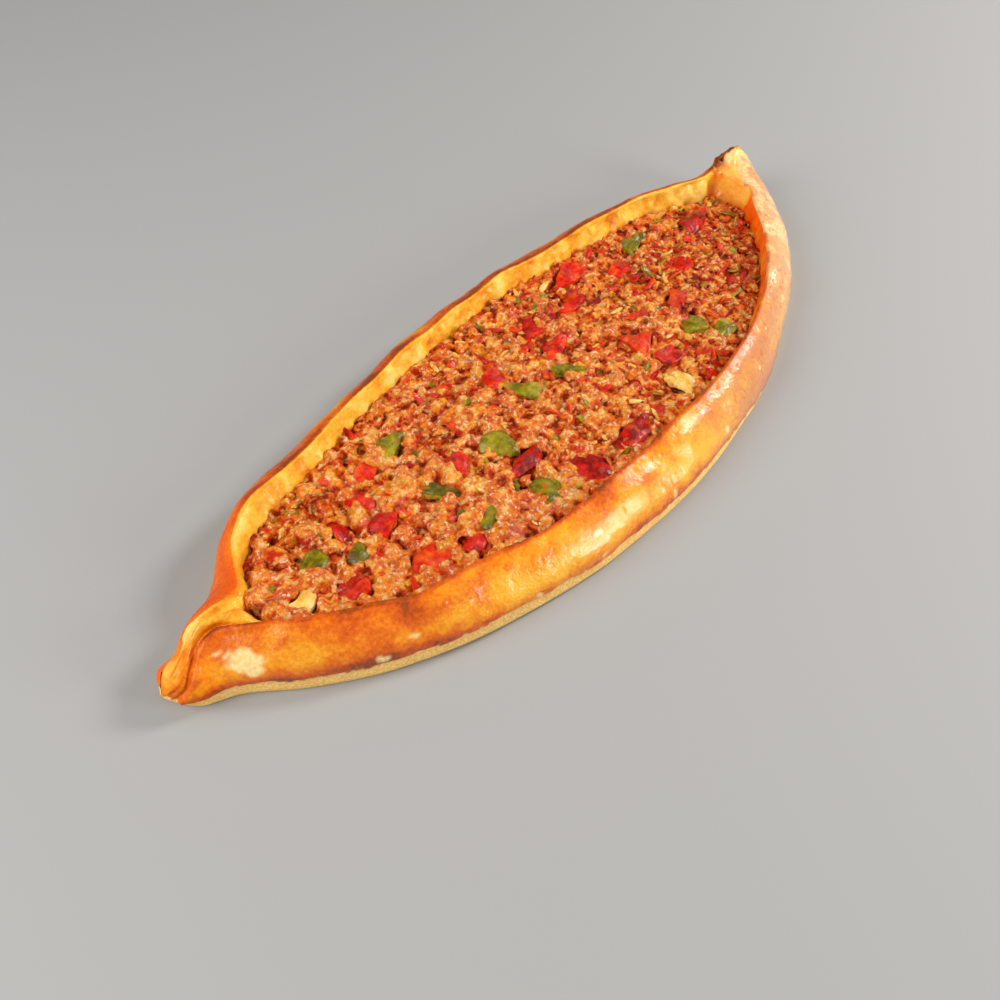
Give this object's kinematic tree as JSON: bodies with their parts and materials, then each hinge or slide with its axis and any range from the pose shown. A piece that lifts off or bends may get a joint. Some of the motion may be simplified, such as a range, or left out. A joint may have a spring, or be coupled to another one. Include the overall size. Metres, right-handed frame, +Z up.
{
  "type": "turkish pide",
  "caption": "Baked Turkish pide: boat-shaped flatbread with a rolled rim and pinched ends, filled with chopped meat in tomato sauce, peppers, tomato and onion.",
  "frame": {"origin": "on the resting plane under the middle of the bread's bounding box", "axes": "+X along the bread towards its raised, twisted end; +Z up out of the filling; -Y towards the side with the broad rolled rim"},
  "size_m": [0.38, 0.1419, 0.0289],
  "materials": {
    "crust": "satin",
    "filling": "gloss",
    "red_pepper": "gloss",
    "green_pepper": "gloss",
    "tomato": "gloss",
    "onion": "gloss",
    "meat_cube": "satin"
  },
  "bodies": {
    "root": {"crust": "crust", "filling": "filling", "green_pepper_01": "green_pepper", "green_pepper_02": "green_pepper", "green_pepper_03": "green_pepper", "green_pepper_04": "green_pepper", "green_pepper_05": "green_pepper", "green_pepper_06": "green_pepper", "green_pepper_07": "green_pepper", "green_pepper_08": "green_pepper", "green_pepper_09": "green_pepper", "green_pepper_10": "green_pepper", "green_pepper_11": "green_pepper", "green_pepper_12": "green_pepper", "meat_cube_01": "meat_cube", "meat_cube_02": "meat_cube", "meat_cube_03": "meat_cube", "meat_cube_04": "meat_cube", "onion_01": "onion", "onion_02": "onion", "red_pepper_01": "red_pepper", "red_pepper_02": "red_pepper", "red_pepper_03": "red_pepper", "red_pepper_04": "red_pepper", "red_pepper_05": "red_pepper", "red_pepper_06": "red_pepper", "red_pepper_07": "red_pepper", "red_pepper_08": "red_pepper", "red_pepper_09": "red_pepper", "red_pepper_10": "red_pepper", "red_pepper_11": "red_pepper", "red_pepper_12": "red_pepper", "red_pepper_13": "red_pepper", "red_pepper_14": "red_pepper", "red_pepper_15": "red_pepper", "red_pepper_16": "red_pepper", "red_pepper_17": "red_pepper", "red_pepper_18": "red_pepper", "tomato_01": "tomato", "tomato_02": "tomato", "tomato_03": "tomato", "tomato_04": "tomato"}
  },
  "joints": []
}
